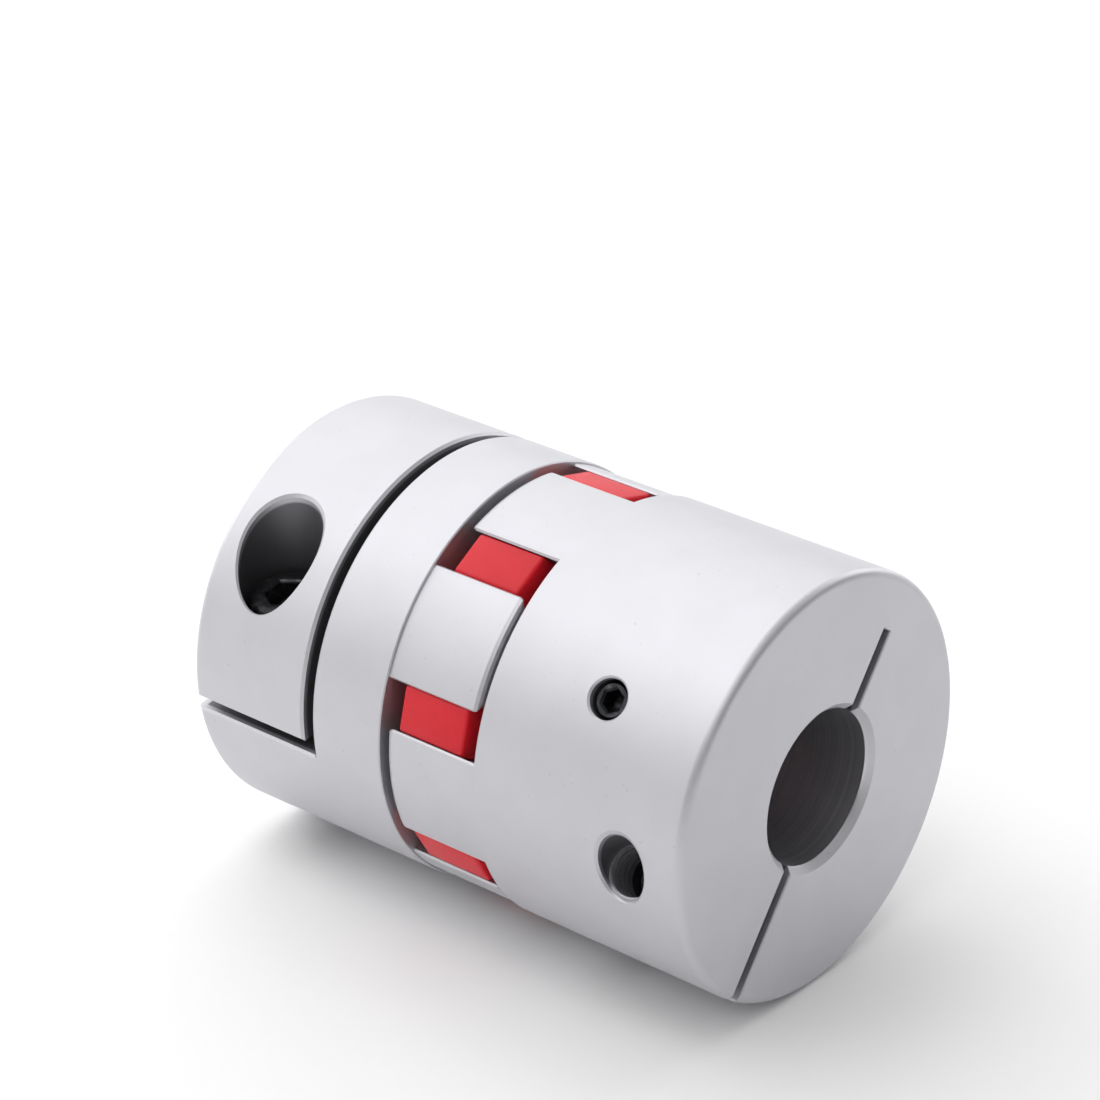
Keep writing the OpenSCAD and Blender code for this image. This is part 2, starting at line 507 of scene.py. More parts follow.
def mesh_of_loops(name: str, loops: Sequence[Loop], ring: bool) -> bpy.types.Mesh:
    """Skins a stack of closed loops of equal length.

    Args:
        name: Name of the mesh.
        loops: The loops, in order along the stack.
        ring: True joins the last loop to the first; False closes both ends with caps.

    Returns:
        A closed mesh with its faces outwards.
    """
    shape = bmesh.new()
    rows = [[shape.verts.new(p) for p in loop] for loop in loops]
    pairs = list(zip(rows, rows[1:] + rows[:1])) if ring else list(zip(rows, rows[1:]))
    for low, high in pairs:
        for i in range(len(low)):
            j = (i + 1) % len(low)
            shape.faces.new((low[i], low[j], high[j], high[i]))
    if not ring:
        shape.faces.new(rows[0])
        shape.faces.new(rows[-1])
    bmesh.ops.recalc_face_normals(shape, faces=shape.faces)
    return finished_mesh(name, shape)


def finished_mesh(name: str, shape: bmesh.types.BMesh) -> bpy.types.Mesh:
    """Turns a bmesh into a mesh and frees it."""
    mesh = bpy.data.meshes.new(name)
    shape.to_mesh(mesh)
    shape.free()
    return mesh


def prism(name: str, outline: Sequence[Point], low: float, high: float) -> bpy.types.Mesh:
    """An outline in X and Y drawn out along Z."""
    return mesh_of_loops(name, [[Vector((x, y, h)) for x, y in outline] for h in (low, high)], False)


def turned(name: str, section: Sequence[Point], segments: int) -> bpy.types.Mesh:
    """A closed section of radius and height turned about Z. Points on the axis are merged."""
    loops = []
    for i in range(segments):
        angle = math.tau * i / segments
        loops.append([Vector((r * math.cos(angle), r * math.sin(angle), h)) for r, h in section])
    return cleaned(mesh_of_loops(name, loops, True))


def cleaned(mesh: bpy.types.Mesh) -> bpy.types.Mesh:
    """The same mesh with its doubles merged and its faces outwards."""
    shape = bmesh.new()
    shape.from_mesh(mesh)
    name = mesh.name
    bpy.data.meshes.remove(mesh)
    bmesh.ops.remove_doubles(shape, verts=shape.verts, dist=1e-5)
    bmesh.ops.recalc_face_normals(shape, faces=shape.faces)
    return finished_mesh(name, shape)


def drawn_in(outline: Sequence[Point], depth: float) -> list[Point]:
    """An outline moved inwards.

    Args:
        outline: The outline's points, in order.
        depth: How far inwards.

    Returns:
        As many points. Those of a side too short to be left gather on a neighbour.
    """
    points = [Vector(p) for p in outline]
    ahead = points[1:] + points[:1]
    area = sum(p.x * q.y - q.x * p.y for p, q in zip(points, ahead))
    turn = math.copysign(1, area)
    inward = [Vector((p.y - q.y, q.x - p.x)).normalized() * turn for p, q in zip(points, ahead)]
    drawn = []
    for i, point in enumerate(points):
        middle = (inward[i - 1] + inward[i]).normalized()
        drawn.append(point + middle * depth / middle.dot(inward[i]))
    clear = []
    for i, point in enumerate(drawn):
        gaps = []
        for p, q in zip(points, ahead):
            share = min(1.0, max(0.0, (point - p).dot(q - p) / (q - p).length_squared))
            gaps.append((p.lerp(q, share) - point).length)
        if min(gaps) > depth * 0.99:
            clear.append(i)
    count = len(points)
    result = []
    for i in range(count):
        nearest = min(clear, key=lambda j: min((i - j) % count, (j - i) % count))
        result.append(tuple(drawn[nearest]))
    return result


def merged(name: str, meshes: Iterable[bpy.types.Mesh]) -> bpy.types.Mesh:
    """Several meshes as one, without carving them into each other."""
    shape = bmesh.new()
    for mesh in meshes:
        shape.from_mesh(mesh)
        bpy.data.meshes.remove(mesh)
    return finished_mesh(name, shape)


def moved(mesh: bpy.types.Mesh, matrix: Matrix) -> bpy.types.Mesh:
    """The same mesh, placed by a matrix."""
    mesh.transform(matrix)
    return mesh


def in_scene(name: str, mesh: bpy.types.Mesh) -> bpy.types.Object:
    """An object in the scene that shows a mesh."""
    made = bpy.data.objects.new(name, mesh)
    bpy.context.scene.collection.objects.link(made)
    return made


def baked(work: bpy.types.Object) -> bpy.types.Mesh:
    """The mesh that an object's modifiers make, with the object removed."""
    bpy.context.view_layer.update()
    shown = work.evaluated_get(bpy.context.evaluated_depsgraph_get())
    mesh = bpy.data.meshes.new_from_object(shown)
    bpy.data.objects.remove(work)
    return mesh


def carved(base: bpy.types.Mesh, steps: Sequence[tuple[Carve, bpy.types.Mesh]]) -> bpy.types.Mesh:
    """Joins tool solids to a base or cuts them from it, one after the other."""
    work = in_scene("work", base)
    tools = []
    for action, mesh in steps:
        tool = in_scene("tool", mesh)
        tools.append(tool)
        step = work.modifiers.new(action.value, "BOOLEAN")
        step.operation = action.value
        step.solver = "EXACT"
        step.object = tool
    mesh = baked(work)
    for tool in tools:
        bpy.data.objects.remove(tool)
    return mesh


def eased(mesh: bpy.types.Mesh, width: float, segments: int = 2, angle: float = 32.0) -> bpy.types.Mesh:
    """Rounds every edge that is sharper than an angle."""
    work = in_scene("work", mesh)
    ease = work.modifiers.new("ease", "BEVEL")
    ease.width = width
    ease.segments = segments
    ease.limit_method = "ANGLE"
    ease.angle_limit = math.radians(angle)
    ease.use_clamp_overlap = False
    ease.harden_normals = False
    return baked(work)


@dataclass(frozen=True)
class Barrel:
    """A round surface of a turned or drilled part: its axis is Z of a bench frame."""

    bench: Matrix
    radius: float

    def normal(self, point: Vector) -> Vector:
        """Direction straight away from the axis at a point."""
        local = self.bench.inverted() @ point
        return (self.bench.to_3x3() @ Vector((local.x, local.y, 0))).normalized()

    def holds(self, points: Iterable[Vector]) -> bool:
        """Whether all the points lie on the round surface."""
        inverse = self.bench.inverted()
        return all(abs((inverse @ p).xy.length - self.radius) < 0.01 for p in points)


def trued(mesh: bpy.types.Mesh, barrels: Sequence[Barrel]) -> bpy.types.Mesh:
    """Gives faces on round surfaces the exact normals of the round, so that cuts leave no streaks."""
    normals = [Vector(n.vector) for n in mesh.corner_normals]
    for face in mesh.polygons:
        points = [mesh.vertices[i].co for i in face.vertices]
        barrel = next((b for b in barrels if b.holds(points)), None)
        if barrel is None:
            continue
        sign = 1 if barrel.normal(face.center).dot(face.normal) > 0 else -1
        for loop, point in zip(face.loop_indices, points):
            normals[loop] = barrel.normal(point) * sign
    mesh.normals_split_custom_set(normals)
    return mesh


def shaded(mesh: bpy.types.Mesh, angle: float = 28.0) -> bpy.types.Mesh:
    """Shades a mesh smooth, apart from edges sharper than an angle."""
    for face in mesh.polygons:
        face.use_smooth = True
    mesh.set_sharp_from_angle(angle=math.radians(angle))
    return mesh


# ---------------------------------------------------------------------------------------------
# Places
# ---------------------------------------------------------------------------------------------


@dataclass(frozen=True)
class ShaftLine:
    """Where the coupling lies: its shaft along X, rolled by an angle about it.

    Attributes:
        roll: Angle of the coupling's own zero from +Z towards -Y, in degrees.
        outer_r: Radius of the hubs.
        half_len: Distance of an end face from the middle.
    """

    roll: float
    outer_r: float
    half_len: float
    leg_pitch: float = 45.0

    @classmethod
    def from_frame(cls, frame: dict[str, Any]) -> ShaftLine:
        """Reads the line from the CAD frame: its box, and the near set screw's own axis."""
        low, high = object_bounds()
        screw = next(j for j in frame["joints"] if j["name"] == "driven_set_screw_out")
        _, y, z = screw["axis"]
        set_screw_turn = math.degrees(math.atan2(-y, z))
        roll = set_screw_turn + 90 - cls.leg_pitch / 2
        return cls(roll, (high.y - low.y) / 2 / MM, high.x / MM)

    def matrix(self, side: Side | None = None) -> Matrix:
        """From a bench frame in millimetres to the row frame in metres.

        Args:
            side: The hub whose bench frame it is, or None for the spider's.

        Returns:
            The whole placement, with the change of units.
        """
        lay_down = Matrix(((0, 0, 1, 0), (1, 0, 0, 0), (0, 1, 0, 0), (0, 0, 0, 1)))
        placed = Matrix.Scale(MM, 4) @ lay_down @ Matrix.Rotation(math.radians(self.roll), 4, "Z")
        if side is None:
            return placed
        if side is Side.MOTOR:
            placed = placed @ Matrix.Rotation(math.pi, 4, "Y")
        return placed @ Matrix.Rotation(math.radians(self.leg_pitch / 2), 4, "Z")


# ---------------------------------------------------------------------------------------------
# Threads and knurls, by geometry nodes
# ---------------------------------------------------------------------------------------------


class FieldTool:
    """A geometry node tree with named sizes, run on an object and turned into a plain mesh."""

    def __init__(self, name: str, sizes: dict[str, float]) -> None:
        """Makes an empty tree.

        Args:
            name: Name of the tree.
            sizes: The named inputs and their values, in millimetres.
        """
        self.tree = bpy.data.node_groups.new(name, "GeometryNodeTree")
        self.graph = Graph(self.tree)
        self.sizes = sizes
        face = self.tree.interface
        face.new_socket("Geometry", in_out="INPUT", socket_type="NodeSocketGeometry")
        for size in sizes:
            face.new_socket(size, in_out="INPUT", socket_type="NodeSocketFloat")
        face.new_socket("Geometry", in_out="OUTPUT", socket_type="NodeSocketGeometry")
        self.source = self.graph.add("NodeGroupInput")

    def size(self, name: str) -> Value:
        """The value of a named size."""
        return self.graph.other(self.source, name)

    def run(self, base: bpy.types.Mesh, shape: Value, material: bpy.types.Material) -> bpy.types.Mesh:
        """Closes the tree, runs it on a base mesh and bakes the result.

        Args:
            base: The mesh that comes in as Geometry.
            shape: The geometry that the tree makes.
            material: What the result is made of.

        Returns:
            A plain mesh.
        """
        real = self.graph.add("GeometryNodeRealizeInstances", None, {0: shape})
        painted = self.graph.add("GeometryNodeSetMaterial", None, {0: real, "Material": material})
        out = self.tree.nodes.new("NodeGroupOutput")
        self.tree.links.new(painted.socket, out.inputs[0])
        work = in_scene("work", base)
        modifier = work.modifiers.new("field", "NODES")
        modifier.node_group = self.tree
        for item in self.tree.interface.items_tree:
            if item.in_out == "INPUT" and item.name in self.sizes:
                modifier[item.identifier] = float(self.sizes[item.name])
        return baked(work)


def around_shaft(
    shape: bpy.types.Mesh, count: int, start: float, material: bpy.types.Material
) -> bpy.types.Mesh:
    """Copies of a shape, spaced evenly about Z.

    Args:
        shape: The shape, drawn at +Y.
        count: How many there are.
        start: Angle of the first, in degrees.
        material: What they are made of.

    Returns:
        All the copies as one mesh.
    """
    tool = FieldTool("around_shaft", {"Start": math.radians(start), "Step": math.tau / count})
    graph = tool.graph
    spots = graph.add("GeometryNodeMeshLine", None, {"Count": count, "Offset": (0.0, 0.0, 0.0)})
    index = graph.add("GeometryNodeInputIndex")
    angle = tool.size("Start") + index * tool.size("Step")
    turn = graph.add("ShaderNodeCombineXYZ", None, {"Z": angle})
    inputs = {"Points": spots, "Instance": tool.source, "Rotation": turn}
    return tool.run(shape, graph.add("GeometryNodeInstanceOnPoints", None, inputs), material)


def helical_ridge(
    root_r: float,
    height: float,
    pitch: float,
    low: float,
    high: float,
    material: bpy.types.Material,
) -> bpy.types.Mesh:
    """A thread's ridge about Z, which fades in and out over its first and last half turn.

    Args:
        root_r: Radius at the ridge's foot.
        height: How far its crest stands off the foot; negative for a thread in a hole.
        pitch: Distance between turns.
        low: Where the thread starts along Z.
        high: Where it ends.
        material: What it is made of.

    Returns:
        A closed mesh of one ridge, with its foot sunk a little.
    """
    per_turn = 64
    sizes = {"Root radius": root_r, "Height": height, "Pitch": pitch, "Length": high - low}
    tool = FieldTool("helical_ridge", sizes)
    graph = tool.graph
    turns = tool.size("Length") / tool.size("Pitch")
    spiral = graph.add(
        "GeometryNodeCurveSpiral",
        None,
        {
            "Resolution": per_turn,
            "Rotations": turns,
            "Start Radius": tool.size("Root radius"),
            "End Radius": tool.size("Root radius"),
            "Height": tool.size("Length"),
        },
    )
    upright = graph.add("GeometryNodeSetCurveNormal", {"mode": "Z_UP"}, {0: spiral})
    crest = ridge_profile(graph, tool)
    along = graph.add("GeometryNodeSplineParameter")
    fade = (along * turns * 2).least((1 - along) * turns * 2).least(1.0)
    ridge = graph.add(
        "GeometryNodeCurveToMesh",
        None,
        {"Curve": upright, "Profile Curve": crest, "Scale": fade, "Fill Caps": True},
    )
    mesh = tool.run(bpy.data.meshes.new("ridge"), ridge, material)
    return moved(mesh, Matrix.Translation((0, 0, low)))


def ridge_profile(graph: Graph, tool: FieldTool) -> Value:
    """The section of a thread's ridge as a closed curve: a blunt tooth on a sunken foot."""
    foot, crest, sunk = 0.42, 0.07, -0.12
    tooth = []
    for side, part in ((-foot, sunk), (-crest, 1.0), (crest, 1.0), (foot, sunk)):
        place = {"X": tool.size("Height") * part, "Y": tool.size("Pitch") * side, "Z": 0.0}
        tooth.append(graph.add("ShaderNodeCombineXYZ", None, place))
    edges = []
    for a, b in zip(tooth, tooth[1:] + tooth[:1]):
        line = graph.add("GeometryNodeCurvePrimitiveLine", {"mode": "POINTS"}, {0: a, 1: b})
        edges.append(graph.add("GeometryNodeCurveToMesh", None, {0: line}))
    closed = graph.add("GeometryNodeMergeByDistance", None, {0: graph.join(edges), "Distance": 1e-4})
    return graph.add("GeometryNodeMeshToCurve", None, {0: closed})


def knurled(
    head: bpy.types.Mesh,
    radius: float,
    low: float,
    high: float,
    count: int,
    material: bpy.types.Material,
) -> bpy.types.Mesh:
    """A screw head with straight knurling round its side.

    Args:
        head: The plain head.
        radius: Radius on which the ridges sit.
        low: Lower end of the knurling along Z.
        high: Upper end.
        count: Number of ridges.
        material: What the head is made of.

    Returns:
        The head and its ridges as one mesh.
    """
    sizes = {"Radius": radius, "Length": high - low, "Middle": (high + low) / 2}
    tool = FieldTool("straight_knurl", sizes)
    graph = tool.graph
    ring = graph.add("GeometryNodeMeshCircle", None, {"Vertices": count, "Radius": tool.size("Radius")})
    lift = graph.add("ShaderNodeCombineXYZ", None, {"Z": tool.size("Middle")})
    raised = graph.add("GeometryNodeSetPosition", None, {0: ring, "Offset": lift})
    rib = graph.add(
        "GeometryNodeMeshCylinder",
        None,
        {"Vertices": 4, "Radius": radius * math.pi / count * 0.62, "Depth": tool.size("Length")},
    )
    index = graph.add("GeometryNodeInputIndex")
    turn = graph.add("ShaderNodeCombineXYZ", None, {"Z": index * (math.tau / count)})
    ribs = graph.add(
        "GeometryNodeInstanceOnPoints", None, {"Points": raised, "Instance": rib, "Rotation": turn}
    )
    return tool.run(head, graph.join((ribs, tool.source)), material)


# ---------------------------------------------------------------------------------------------
# Sub-assemblies
# ---------------------------------------------------------------------------------------------


@dataclass
class ScrewSizes:
    """Sizes of a metric screw and of the hole it sits in, all in millimetres."""

    thread_d: float
    pitch: float
    length: float
    socket_w: float
    socket_depth: float

    @property
    def thread_r(self) -> float:
        """Outer radius of the thread, just clear of its hole."""
        return self.thread_d / 2 - 0.04

    @property
    def root_r(self) -> float:
        """Radius at the foot of the thread."""
        return self.thread_d / 2 - 0.58 * self.pitch


@dataclass
class Screw:
    """A screw of a hub. A subclass says which, and shapes it."""

    line: ShaftLine
    finish: Finish

    def bench(self) -> Matrix:
        """From the screw's bench frame to its hub's."""
        raise NotImplementedError

    def mesh(self) -> bpy.types.Mesh:
        """The whole screw in its bench frame."""
        raise NotImplementedError

    def handed_over(self, node: str, size: str, side: Side) -> bpy.types.Object:
        """Makes one side's screw and hands it to its CAD body.

        Args:
            node: The CAD node and body that the screw stands for.
            size: Its thread, for its name.
            side: The hub that it is in.

        Returns:
            The finished piece.
        """
        mesh = self.finish.dress(self.mesh())
        piece = in_scene(f"{node}_{size}", moved(mesh, self.line.matrix(side) @ self.bench()))
        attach(piece, node)
        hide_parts(node)
        return piece


@dataclass
class CapScrew(Screw):
    """Socket head cap screw that closes a clamping hub."""

    sizes: ScrewSizes = field(default_factory=lambda: ScrewSizes(6.0, 1.0, 20.0, 5.0, 3.0))
    head_r: float = 5.0
    head_h: float = 6.0
    seat: float = 8.0
    offset: float = 17.5
    inset: float = 9.0
    rim_round: float = 0.9
    seat_break: float = 0.15
    knurl_count: int = 54
    knurl_depth: float = 0.12
    knurl_low: float = 0.35
    knurl_high: float = 1.1

    @property
    def tip(self) -> float:
        """Height of the screw's end."""
        return self.seat - self.sizes.length

    @property
    def top(self) -> float:
        """Height of the head's top."""
        return self.seat + self.head_h

    def bench(self) -> Matrix:
        """From the screw's bench frame to its hub's."""
        place = Matrix.Translation((0, self.offset, self.line.half_len - self.inset))
        return place @ Matrix.Rotation(-math.pi / 2, 4, "Y")

    def head(self) -> bpy.types.Mesh:
        """The head: a turned disc with a rounded rim and a hexagonal socket with a drilled floor."""
        rim, soft = self.rim_round, self.seat_break
        body_r = self.head_r - self.knurl_depth
        section = [(0.0, self.seat), (body_r - soft, self.seat), (body_r, self.seat + soft)]
        section += arc((body_r - rim, self.top - rim), rim, 0, 90, 7)
        section += [(0.0, self.top)]
        blank = turned("head", section, 96)
        return carved(blank, [(Carve.CUT, socket_tool(self.sizes, self.top))])

    def mesh(self) -> bpy.types.Mesh:
        """The whole screw in its bench frame."""
        material = self.finish.material()
        head = knurled(
            eased(self.head(), 0.08),
            self.head_r - self.knurl_depth * 1.4,
            self.seat + self.knurl_low,
            self.top - self.knurl_high,
            self.knurl_count,
            material,
        )
        shank = threaded_rod(self.sizes, self.tip, self.seat + 0.5, material)
        return shaded(merged("cap_screw", [head, shank]))

    def build(self, side: Side) -> bpy.types.Object:
        """Makes one side's clamp screw."""
        return self.handed_over(side.node("clamp_screw"), "m6", side)


@dataclass
class GrubScrew(Screw):
    """Headless set screw with a cup point, which bears on the shaft."""

    sizes: ScrewSizes = field(default_factory=lambda: ScrewSizes(5.0, 0.8, 16.0, 2.5, 2.5))
    inset: float = 15.25
    recess: float = 1.0
    cup_depth: float = 1.1
    cup_width: float = 0.9

    @property
    def top(self) -> float:
        """Height of the screw's outer end above the shaft axis."""
        return self.line.outer_r - self.recess

    def bench(self) -> Matrix:
        """From the screw's bench frame to its hub's."""
        place = Matrix.Translation((0, 0, self.line.half_len - self.inset))
        return place @ Matrix.Rotation(math.pi / 2, 4, "Y")

    def mesh(self) -> bpy.types.Mesh:
        """The whole screw in its bench frame."""
        tip = self.top - self.sizes.length
        material = self.finish.material()
        rod = threaded_rod(self.sizes, tip, self.top, material)
        mouth_r = self.sizes.root_r * 0.75 + self.cup_width
        section = [(0.0, tip - PAST), (mouth_r, tip - PAST), (0.0, tip + self.cup_depth)]
        cup = turned("cup", section, 48)
        steps = [(Carve.CUT, socket_tool(self.sizes, self.top)), (Carve.CUT, cup)]
        return shaded(carved(rod, steps))

    def build(self, side: Side) -> bpy.types.Object:
        """Makes one side's set screw."""
        return self.handed_over(side.node("set_screw"), "m5", side)


def socket_tool(sizes: ScrewSizes, top: float) -> bpy.types.Mesh:
    """What is cut out for a hexagonal socket: the hexagon, a drilled cone and a lead-in."""
    corner_r = sizes.socket_w / math.sqrt(3)
    floor = top - sizes.socket_depth
    outline = [polar(corner_r, 60 * i) for i in range(6)]
    hexagon = prism("socket", outline, floor, top + PAST)
    drill = turned("drill", [(0.0, floor + 0.1), (corner_r * 0.84, floor + 0.1), (0.0, floor - 0.9)], 48)
    lead = 0.3
    inner = [Vector((x, y, top - lead)) for x, y in outline]
    grown = (corner_r + lead + PAST) / corner_r
    outer = [Vector((x * grown, y * grown, top + PAST)) for x, y in outline]
    lead_in = mesh_of_loops("lead", [inner, outer], False)
    return carved(hexagon, [(Carve.JOIN, drill), (Carve.JOIN, lead_in)])


def threaded_rod(
    sizes: ScrewSizes, low: float, high: float, material: bpy.types.Material
) -> bpy.types.Mesh:
    """A rod with a helical thread from low to high, chamfered at its lower end."""
    lead = 0.45
    core = [(0.0, low), (sizes.root_r - lead, low), (sizes.root_r, low + lead)]
    core += [(sizes.root_r, high), (0.0, high)]
    rod = turned("rod", core, 64)
    crest = sizes.thread_r - sizes.root_r
    ridge = helical_ridge(
        sizes.root_r, crest, sizes.pitch, low + lead / 2, high - sizes.pitch * 0.4, material
    )
    rod.materials.append(material)
    return merged("rod", [rod, ridge])


@dataclass
class Hub:
    """Clamping hub: bored body, four jaws, saw cuts that free a clamping half, screw holes."""

    line: ShaftLine
    finish: Finish
    clamp: CapScrew
    grub: GrubScrew
    segments: int = 288
    hole_segments: int = 96
    rim_z: float = 7.5
    rim_chamfer: float = 0.15
    bore_r: float = 10.0
    bore_chamfer: float = 0.9
    end_round: float = 1.15
    saw_w: float = 1.6
    clamp_len: float = 18.7
    slit_blind_r: float = 20.7
    saw_edge: float = 0.35
    jaw_count: int = 4
    jaw_step: float = 0.35
    jaw_len: float = 14.0
    jaw_inner_r: float = 18.8
    jaw_tip_chamfer: float = 0.65
    jaw_edge_chamfer: float = 0.45
    pocket_gap: float = 0.15
    flank_r: float = 8.0
    leg_w: float = 7.8
    leg_mid_r: float = 22.8
    counterbore_r: float = 5.75
    clearance_r: float = 3.3
    tapped_gap: float = 0.05
    runout_r: float = 3.45
    runout_start: float = 17.5
    runout_slope: float = 0.25
    thread_depth: float = 0.5
    thread_overrun: float = 0.3
    counterbore_break: float = 0.3
    runout_break: float = 0.35
    grub_break: float = 0.25
    end_break: float = 0.15

    @property
    def tip_z(self) -> float:
        """Height of the jaws' tips."""
        return self.rim_z - self.jaw_len

    @property
    def cut_z(self) -> float:
        """Height of the cross cut's inner wall."""
        return self.line.half_len - self.clamp_len - self.saw_w

    @property
    def jaw_r(self) -> float:
        """Outer radius of the jaws."""
        return self.line.outer_r - self.jaw_step

    def body(self) -> bpy.types.Mesh:
        """The turned blank with its bore."""
        outer, end = self.line.outer_r, self.line.half_len
        centre = (outer - self.end_round, end - self.end_round)
        section = [
            (self.bore_r, self.rim_z + self.bore_chamfer),
            (self.bore_r + self.bore_chamfer, self.rim_z),
            (outer - self.rim_chamfer, self.rim_z),
            (outer, self.rim_z + self.rim_chamfer),
            *arc(centre, self.end_round, 0, 90, 9),
            (self.bore_r + self.bore_chamfer, end),
            (self.bore_r, end - self.bore_chamfer),
        ]
        return turned("body", section, self.segments)

    def flank(self) -> list[Point]:
        """One side of a leg's pocket, from the inner circle out, with the leg along +Y."""
        radius = self.flank_r + self.pocket_gap
        shift = self.flank_r - self.leg_w / 2
        top = self.jaw_r - self.jaw_edge_chamfer

        def across(y: float) -> float:
            """Half width of the pocket at a height."""
            return math.sqrt(radius**2 - (y - self.leg_mid_r) ** 2) - shift

        low = self.jaw_inner_r
        for _ in range(20):
            low = math.sqrt(self.jaw_inner_r**2 - across(low) ** 2)
        points = [(across(y), y) for y in spaced(low, top, 15)]
        edge = points[-1][0]
        y = self.jaw_r
        for _ in range(20):
            y = math.sqrt(self.jaw_r**2 - (edge + y - top) ** 2)
        return [*points, (edge + y - top, y)]

    def jaw(self) -> bpy.types.Mesh:
        """One jaw, centred on +Y, with a chamfered tip and its root sunk in the body."""
        turn = math.radians(self.line.leg_pitch / 2)
        right = []
        for x, y in self.flank():
            right.append((y * math.sin(turn) - x * math.cos(turn), y * math.cos(turn) + x * math.sin(turn)))
        left = [(-x, y) for x, y in reversed(right)]
        outer = self.across_jaw(right[-1], self.jaw_r, 25)
        inner = self.across_jaw(left[-1], self.jaw_inner_r, 15)
        outline = [*right, *outer, *left, *inner]
        soft = self.jaw_tip_chamfer
        part = soft * (1 - math.sqrt(0.5))
        loops = [self.level(drawn_in(outline, soft), self.tip_z)]
        loops.append(self.level(drawn_in(outline, part), self.tip_z + part))
        loops += [self.level(outline, height) for height in (self.tip_z + soft, self.rim_z + PAST)]
        return cleaned(mesh_of_loops("jaw", loops, False))

    @staticmethod
    def level(outline: Sequence[Point], height: float) -> Loop:
        """An outline laid at a height."""
        return [Vector((x, y, height)) for x, y in outline]

    def across_jaw(self, start: Point, radius: float, count: int) -> list[Point]:
        """Points inside the arc from a start to its mirror image across +Y."""
        angle = math.degrees(math.atan2(-start[0], start[1]))
        return [polar(radius, a) for a in spaced(angle, -angle, count)[1:-1]]

    def jaws(self) -> bpy.types.Mesh:
        """All of the hub's jaws."""
        return around_shaft(self.jaw(), self.jaw_count, self.line.leg_pitch, self.finish.material())

    def slit(self) -> bpy.types.Mesh:
        """The long slit, from its blind end through the bore to the outside, with broken edges."""
        outer, end = self.line.outer_r, self.line.half_len
        loops = []
        for half, height in (
            (self.saw_w / 2, self.cut_z),
            (self.saw_w / 2, end - self.end_break),
            (self.saw_w / 2 + self.end_break + PAST, end + PAST),
        ):
            flare = half + self.saw_edge + PAST
            blind = -self.slit_blind_r - half + self.saw_w / 2
            outline = [(-half, blind), (half, blind), (half, outer - self.saw_edge), (flare, outer + PAST)]
            outline += [(-flare, outer + PAST), (-half, outer - self.saw_edge)]
            loops.append([Vector((x, y, height)) for x, y in outline])
        return mesh_of_loops("slit", loops, False)

    def cross_cut(self) -> bpy.types.Mesh:
        """The cross cut on the clamping half's side, with its edges broken outside."""
        outer, low, high = self.line.outer_r, self.cut_z, self.cut_z + self.saw_w
        flare = self.saw_edge + PAST
        start = -math.degrees(math.asin(self.saw_w / 2 / outer))
        loops = []
        for angle in spaced(start, 180 - start, self.segments // 2):
            foot = [(0.0, low), (outer - self.saw_edge, low), (outer + PAST, low - flare)]
            foot += [(outer + PAST, high + flare), (outer - self.saw_edge, high), (0.0, high)]
            loops.append([Vector((*polar(r, angle), h)) for r, h in foot])
        wedge = cleaned(mesh_of_loops("cross_cut", loops, False))
        half, reach = self.saw_w / 2, outer + PAST
        outline = [(0.0, -reach), (half, -reach), (half, reach), (0.0, reach)]
        return carved(wedge, [(Carve.JOIN, prism("sliver", outline, low, high))])

    def rounds(self, radius: float, height: Callable[[float], float]) -> Loop:
        """A circle about a hole's axis, at a height that depends on the distance towards +Y."""
        loop = []
        for i in range(self.hole_segments):
            angle = math.tau * i / self.hole_segments
            x, y = radius * math.cos(angle), radius * math.sin(angle)
            loop.append(Vector((x, y, height(y))))
        return loop

    def mouth(self, offset: float, radius: float, chamfer: float) -> list[Loop]:
        """The end of a drill that leaves the hub: a chamfer that follows the round outside.

        Args:
            offset: Distance of the hole's axis from the plane through the shaft.
            radius: Radius of the hole.
            chamfer: Width of the chamfer.

        Returns:
            Loops from the foot of the chamfer to the open air.
        """
        outer = self.line.outer_r

        def surface(y: float, depth: float) -> float:
            """Height of the outside, less a depth square to it."""
            return math.sqrt((outer - depth) ** 2 - (offset + y) ** 2)

        foot = self.rounds(radius, lambda y: surface(y, chamfer))
        top = self.rounds(radius + chamfer, lambda y: surface(y, 0))
        beyond = [t + (t - f) for f, t in zip(foot, top)]
        lid = self.rounds(radius + 2 * chamfer, lambda y: outer + 2 * PAST)
        return [foot, beyond, lid]

    def clamp_drill(self) -> bpy.types.Mesh:
        """The stepped hole of the clamp screw: run-out, thread, clearance and counterbore."""
        tapped_r = self.clamp.sizes.thread_d / 2 + self.tapped_gap
        out = self.mouth(self.clamp.offset, self.runout_r, self.runout_break)
        loops = [[Vector((p.x, p.y, -p.z)) for p in loop] for loop in reversed(out)]
        for radius, height in (
            (self.runout_r, -self.runout_start),
            (tapped_r, -self.runout_start + self.runout_slope),
            (tapped_r, 0.0),
            (self.clearance_r, 0.0),
            (self.clearance_r, self.clamp.seat),
            (self.counterbore_r, self.clamp.seat),
        ):
            loops.append(self.rounds(radius, lambda y, h=height: h))
        loops += self.mouth(self.clamp.offset, self.counterbore_r, self.counterbore_break)
        return moved(mesh_of_loops("clamp_drill", loops, False), self.clamp.bench())

    def grub_drill(self) -> bpy.types.Mesh:
        """The tapped hole of the set screw."""
        radius = self.grub.sizes.thread_d / 2 + self.tapped_gap
        loops = [self.rounds(radius, lambda y: 0.0), *self.mouth(0.0, radius, self.grub_break)]
        return moved(mesh_of_loops("grub_drill", loops, False), self.grub.bench())

